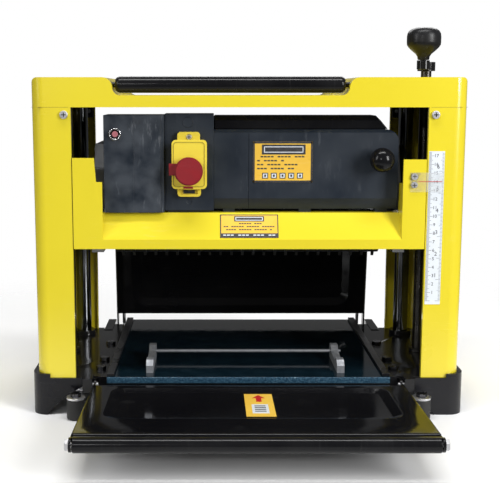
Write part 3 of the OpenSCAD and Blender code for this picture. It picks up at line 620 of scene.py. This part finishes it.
# data plate: frame, heading block, four lines, five pictograms
for edge in ((-34.7, -23.7, 34.7, -21.6), (-34.7, 21.6, 34.7, 23.7), (-34.7, -23.7, -32.8, 23.7),
             (32.8, -23.7, 34.7, 23.7)):
    bar(black_print, upright, *edge)
bar(black_print, upright, -24.5, 8.8, 26.5, 20.4)
bar(white_print, upright, -22.0, 11.0, 24.0, 18.2, 0.0002)
bar(black_print, upright, -21.0, 12.0, 23.0, 17.2, 0.00028)
for i, length in enumerate((56, 34, 48, 44)):
    for k in range(int(length / 4)):
        if (k * 7 + i * 3) % 5:
            x = -30 + k * 4.0
            bar(black_print, upright, x, 5.4 - i * 4.6, x + 3.2, 7.0 - i * 4.6)
for k in range(5):
    x = -24 + k * 10.2
    bar(black_print, upright, x, -19.4, x + 7.0, -12.6)
    bar(white_print, upright, x + 1.0, -18.4, x + 6.0, -13.6, 0.0002)
    bar(black_print, upright, x + 2.4, -17.4, x + 4.6, -14.6, 0.00028)
# guidance plate: frame, heading block, three lines and a dashed foot bar
for edge in ((-34.0, -15.0, 34.0, -13.9), (-34.0, 13.9, 34.0, 15.0), (-34.0, -15.0, -32.9, 15.0),
             (32.9, -15.0, 34.0, 15.0)):
    bar(black_print, sloping, *edge)
bar(black_print, sloping, -17.5, 6.0, 17.5, 12.8)
bar(white_print, sloping, -16.0, 7.2, 16.0, 11.6, 0.0002)
bar(black_print, sloping, -15.2, 8.0, 15.2, 10.8, 0.00028)
for i, length in enumerate((30, 60, 54)):
    for k in range(int(length / 3)):
        if (k * 5 + i * 2) % 6:
            x = -length / 2 + k * 3.0
            bar(black_print, sloping, x, 2.6 - i * 3.9, x + 2.4, 4.0 - i * 3.9)
bar(black_print, sloping, -32.9, -13.9, 32.9, -9.2)
for k in range(14):
    if k % 4 != 3:
        x = -30.5 + k * 4.4
        bar(white_print, sloping, x, -12.2, x + 3.4, -10.9, 0.0002)
put("plate_black_print", black_print, print_black, "carriage")
put("plate_white_print", white_print, scale_white, "carriage")

# ---------------------------------------------------------------- depth pointer
# A clear acrylic tab held by two screws; a red line on its back reads the scale.
acrylic = bpy.data.materials.new("clear_acrylic")
acrylic.use_nodes = True
clear = acrylic.node_tree.nodes["Principled BSDF"]
clear.inputs["Roughness"].default_value = 0.05
haze_place = acrylic.node_tree.nodes.new("ShaderNodeTexCoord")
haze = acrylic.node_tree.nodes.new("ShaderNodeTexNoise")
haze.inputs["Scale"].default_value = 160.0
haze_tone = acrylic.node_tree.nodes.new("ShaderNodeMix")
haze_tone.data_type = "RGBA"
haze_tone.inputs["A"].default_value = (0.86, 0.88, 0.88, 1.0)
haze_tone.inputs["B"].default_value = (0.70, 0.73, 0.74, 1.0)
thin = acrylic.node_tree.nodes.new("ShaderNodeMapRange")
thin.inputs["To Min"].default_value = 0.10
thin.inputs["To Max"].default_value = 0.26
join(acrylic.node_tree, haze_place, "Object", haze, "Vector")
acrylic.node_tree.links.new(haze.outputs["Fac"], haze_tone.inputs["Factor"])
acrylic.node_tree.links.new(haze_tone.outputs["Result"], clear.inputs["Base Color"])
join(acrylic.node_tree, haze, "Fac", thin, "Value")
join(acrylic.node_tree, thin, "Result", clear, "Alpha")
paint("depth_pointer", acrylic)
paint("pointer_screws", zinc)
ink_red = finish(
    "ink_red", (0.60, 0.03, 0.03), (0.50, 0.02, 0.02), (0.3, 0.4), patch=200.0, grain=900.0,
    bump=0.02)
pointer_crosses = bmesh.new()
for z in (0.2745, 0.2848):
    cross(pointer_crosses, 0.19, -0.12935, z, 0.0024, 0.0004, 0.00025)
put("pointer_screw_crosses", pointer_crosses, recess_shade_paint, "carriage")
line = bmesh.new()
slab(line, (0.1945, -0.12732, 0.2784), (0.2222, -0.1272, 0.2790))
put("pointer_line", line, ink_red, "carriage")

# ---------------------------------------------------------------- reset and lock
# The overload reset sits in a chromed ring; a black ball turns the head lock.
ring_chrome = finish(
    "ring_chrome", (0.75, 0.75, 0.77), (0.65, 0.65, 0.67), (0.06, 0.14), metallic=1.0, patch=120.0,
    grain=2500.0, bump=0.01)
softened("reset_ring", ring_chrome, 0.0008, 3)
pale = finish(
    "reset_pale", (0.46, 0.17, 0.19), (0.36, 0.11, 0.13), (0.25, 0.35), patch=200.0, grain=900.0,
    bump=0.03)
softened("reset_button", pale, 0.0006, 3)
softened("lock_knob", gloss_black, 0.0004)
seat = bmesh.new()
bmesh.ops.create_cone(
    seat, cap_ends=False, segments=48, radius1=0.00536, radius2=0.0036, depth=0.0006,
    matrix=Matrix.Translation((-0.155, -0.1190, 0.3327)) @ Matrix.Rotation(radians(90), 4, "X"))
bmesh.ops.solidify(seat, geom=seat.faces[:], thickness=0.0002)
put("reset_seat", seat, gloss_black, "carriage")

# ---------------------------------------------------------------- switch
# A yellow no-volt switch: base, lifting flap, red stop mushroom through the flap
# and two buttons behind it.
switch_yellow = finish(
    "switch_yellow", (0.84, 0.68, 0.07), (0.80, 0.62, 0.05), (0.24, 0.34), patch=30.0, grain=1200.0,
    bump=0.04, rub=0.15, rub_colour=(0.6, 0.5, 0.2))
softened("switch_base", switch_yellow, 0.0008)
softened("switch_flap", switch_yellow, 0.0012, 3)
stop_red = finish(
    "stop_red", (0.27, 0.014, 0.020), (0.22, 0.010, 0.016), (0.3, 0.42), patch=60.0, grain=900.0,
    bump=0.05, rub=0.25, rub_colour=(0.5, 0.15, 0.15))
softened("stop_mushroom", stop_red, 0.0012, 3)
paint("stop_button", stop_red)
start_green = finish(
    "start_green", (0.02, 0.22, 0.06), (0.015, 0.17, 0.05), (0.3, 0.4), patch=60.0, grain=900.0,
    bump=0.05)
paint("start_button", start_green)

switch_x = -0.0697
# the raised bead moulded round the face of the flap, coloured a darker copy of the switch yellow:
# painted shade of the groove along it
bead_painted_shade = finish(
    "bead_painted_shade", (0.42, 0.33, 0.03), (0.34, 0.26, 0.025), (0.3, 0.45), patch=60.0, grain=900.0,
    bump=0.05)
flap_low, flap_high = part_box("switch_flap")
face_y = flap_low[1] + 0.00005
bead_face = bmesh.new()
bmesh.ops.create_grid(
    bead_face, x_segments=1, y_segments=1, size=0.5,
    matrix=Matrix.Translation((switch_x, face_y, (flap_low[2] + flap_high[2]) / 2))
    @ Matrix.Rotation(radians(90), 4, "X") @ Matrix.Diagonal((0.0365, 0.0520, 1, 1)))
bmesh.ops.bevel(
    bead_face, geom=bead_face.verts[:], offset=0.004, offset_type="OFFSET", segments=6, profile=0.5,
    affect="VERTICES", material=-1)
inner_face = bead_face.faces[:]
bmesh.ops.inset_individual(bead_face, faces=inner_face, thickness=0.0009, use_even_offset=True)
bmesh.ops.delete(bead_face, geom=inner_face, context="FACES")
bmesh.ops.solidify(bead_face, geom=bead_face.faces[:], thickness=-0.0004)
put("flap_bead", bead_face, bead_painted_shade, "flap")
# a dark block at the back of the slot in the switch's lower tab: painted shade seen through the slot
latch_slot_shade = bmesh.new()
slab(latch_slot_shade, (-0.0765, -0.1100, 0.2632), (-0.0630, -0.1092, 0.2672))
put("flap_latch_slot_shade", latch_slot_shade, recess_shade_paint, "carriage")
flag = bmesh.new()
slab(flag, (-0.0760, -0.1265, 0.2705), (-0.0650, -0.1259, 0.2730))
put("flap_flag", flag, stop_red, "flap")
# a plated screw in the upper tab, and the moulded ring above it
tab_screw_z = 0.3292
tab_screw = bmesh.new()
bmesh.ops.create_cone(
    tab_screw, cap_ends=True, segments=32, radius1=0.0036, radius2=0.0026, depth=0.0016,
    matrix=Matrix.Translation((switch_x, -0.1122, tab_screw_z)) @ Matrix.Rotation(radians(90), 4, "X"))
put("tab_screw", tab_screw, zinc, "carriage")
tab_cross = bmesh.new()
cross(tab_cross, switch_x, -0.1131, tab_screw_z, 0.0020, 0.0004)
put("tab_screw_cross", tab_cross, recess_shade_paint, "carriage")
moulded_ring = bmesh.new()
bmesh.ops.create_circle(
    moulded_ring, segments=10, radius=0.0005, matrix=Matrix.Translation((-0.065, -0.105, 0.346)))
bmesh.ops.spin(
    moulded_ring, geom=moulded_ring.verts[:] + moulded_ring.edges[:], cent=(-0.071, -0.105, 0.346),
    axis=(0, 1, 0), dvec=(0, 0, 0), angle=2 * pi, steps=48, use_merge=True)
put("moulded_ring", moulded_ring, charcoal, "carriage", 60.0)

# ---------------------------------------------------------------- trays
# Pressed steel trays in gloss black with a sunk panel, folded edges and a plastic
# support roller on two bolts; each swings on pins in the base.
tray_black = finish(
    "tray_black", (0.004, 0.004, 0.005), (0.007, 0.007, 0.008), (0.08, 0.16), patch=7.0,
    grain=300.0, bump=0.04, gloss=0.2, rub=0.3, rub_colour=(0.05, 0.05, 0.05))


def pressed_tray(name, node, body, place):
    # drawn flat: X along the hinge, Y outward from the pin, Z up
    top = 0.0065
    sheet = bmesh.new()
    bmesh.ops.create_grid(sheet, x_segments=1, y_segments=1, size=0.5)
    bmesh.ops.transform(
        sheet, verts=sheet.verts[:],
        matrix=Matrix.Translation((0, 0.1150, top)) @ Matrix.Diagonal((0.3600, 0.1790, 1, 1)))
    # a shallow dish with round corners, nearer the hinge than the lip
    dish = sheet.faces[:]
    bmesh.ops.inset_individual(sheet, faces=dish, thickness=0.022, use_even_offset=True)
    for y, nearer in ((0.0475, -0.0115), (0.1825, -0.0255)):
        bmesh.ops.translate(
            sheet, vec=(0, nearer, 0), verts=[v for v in dish[0].verts if abs(v.co.y - y) < 0.0001])
    bmesh.ops.bevel(
        sheet, geom=dish[0].verts[:], offset=0.020, offset_type="OFFSET", segments=8, profile=0.5,
        affect="VERTICES", material=-1)
    for wide, deep in ((0.0015, -0.0003), (0.0090, -0.0027), (0.0015, -0.0003)):
        deepest = max(sheet.faces, key=lambda f: f.calc_area())
        bmesh.ops.inset_individual(
            sheet, faces=[deepest], thickness=wide, depth=deep, use_even_offset=True)
    # the four edges turn down over a bend: the outer bend is the widest, the drop at
    # the hinge the deepest
    bends = (
        ((0, -1), 0.0255, ((0.0007, 0.0002), (0.0012, 0.0010), (0.0004, 0.0012), (0.0, 0.0155))),
        ((0, 1), 0.2045, ((0.0010, 0.0002), (0.0018, 0.0014), (0.0005, 0.0018), (0.0, 0.0090))),
        ((1, 0), 0.1800, ((0.0008, 0.0002), (0.0012, 0.0010), (0.0004, 0.0012), (0.0, 0.0110))),
        ((-1, 0), 0.1800, ((0.0008, 0.0002), (0.0012, 0.0010), (0.0004, 0.0012), (0.0, 0.0110))))
    for (dx, dy), reach, steps in bends:
        row = [e for e in sheet.edges if e.is_boundary and all(
            abs(v.co.z - top) < 0.00001
            and abs((v.co.x * dx + v.co.y * dy) - (reach if dy >= 0 else -reach)) < 0.0001
            for v in e.verts)]
        for out, down in steps:
            grown = bmesh.ops.extrude_edge_only(sheet, edges=row)["geom"]
            bmesh.ops.translate(
                sheet, vec=(dx * out, dy * out, -down),
                verts=[v for v in grown if isinstance(v, bmesh.types.BMVert)])
            row = [e for e in grown if isinstance(e, bmesh.types.BMEdge)]
    bmesh.ops.recalc_face_normals(sheet, faces=sheet.faces)
    sheet.normal_update()
    if max(sheet.faces, key=lambda f: f.calc_area()).normal.z < 0:
        bmesh.ops.reverse_faces(sheet, faces=sheet.faces)
    bmesh.ops.solidify(sheet, geom=sheet.faces[:], thickness=0.0014)
    # side arms carry the pin at one end and the roller bolt at the other
    roller_reach = 0.219
    for side in (-1, 1):
        middle = side * 0.18125
        slab(sheet, (middle - 0.00115, 0.0, -0.0078), (middle + 0.00115, roller_reach, 0.0040))
        for out, up, r in ((0.0, 0.0, 0.0079), (roller_reach, -0.0009, 0.0073)):
            bmesh.ops.create_cone(
                sheet, cap_ends=True, segments=40, radius1=r, radius2=r, depth=0.0024,
                matrix=Matrix.Translation((middle, out, up)) @ Matrix.Rotation(radians(90), 4, "Y"))
    bmesh.ops.transform(sheet, matrix=place, verts=sheet.verts[:])
    tray = put(name, sheet, tray_black, body, 40.0)
    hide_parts(node)


lowered = (
    Matrix.Translation((0, -0.125, 0.036)) @ Matrix.Diagonal((1, -1, 1, 1))
    @ Matrix.Rotation(radians(1.8), 4, "X"))
folded = Matrix.Translation((0, 0.168, 0.036)) @ Matrix.Rotation(radians(97), 4, "X")
pressed_tray("infeed_tray_pressing", "infeed_tray", "infeed_table", lowered)
pressed_tray("outfeed_tray_pressing", "outfeed_tray", "outfeed_table", folded)
# the orange feed-direction sticker on the infeed tray
sticker_height = 0.0036
sticker = bmesh.new()
slab(sticker, (-0.0070, 0.0535, 0.0), (0.0245, 0.1405, 0.00012))
arrow = bmesh.new()
slab(arrow, (0.0058, 0.0700, 0.0), (0.0118, 0.0850, 0.0002))
bmesh.ops.create_cone(
    arrow, cap_ends=True, segments=3, radius1=0.0085, radius2=0.0085, depth=0.0002,
    matrix=Matrix.Translation((0.0088, 0.0665, 0.0001)) @ Matrix.Rotation(radians(180), 4, "Z"))
label = bmesh.new()
slab(label, (0.0, 0.0950, 0.0), (0.0180, 0.1290, 0.0002))
figure = bmesh.new()
for k in range(4):
    slab(figure, (0.0030, 0.1000 + k * 0.0066, 0.0), (0.0150, 0.1030 + k * 0.0066, 0.00026))
for shape, material, title in (
        (sticker, foil, "sticker"), (arrow, ink_red, "sticker_arrow"),
        (label, scale_white, "sticker_panel"), (figure, print_black, "sticker_print")):
    bmesh.ops.transform(
        shape, matrix=lowered @ Matrix.Translation((0, 0, sticker_height)), verts=shape.verts[:])
    put("feed_" + title, shape, material, "infeed_table")
softened("infeed_tray_roller", gloss_black, 0.001, 3)
softened("outfeed_tray_roller", gloss_black, 0.001, 3)
softened("infeed_tray_bolts", zinc, 0.0005)
softened("outfeed_tray_bolts", zinc, 0.0005)

# ---------------------------------------------------------------- knife gauge
# The loose setting gauge left on the table: two sawn steel feet on a rod.
sawn_steel = finish(
    "sawn_steel", (0.34, 0.35, 0.37), (0.24, 0.25, 0.27), (0.38, 0.55), metallic=0.55, patch=120.0,
    grain=1100.0, bump=0.2, rub=0.5, rub_colour=(0.5, 0.5, 0.52), stretch=(60.0, 60.0, 900.0))
softened("knife_gauge", sawn_steel, 0.0006)
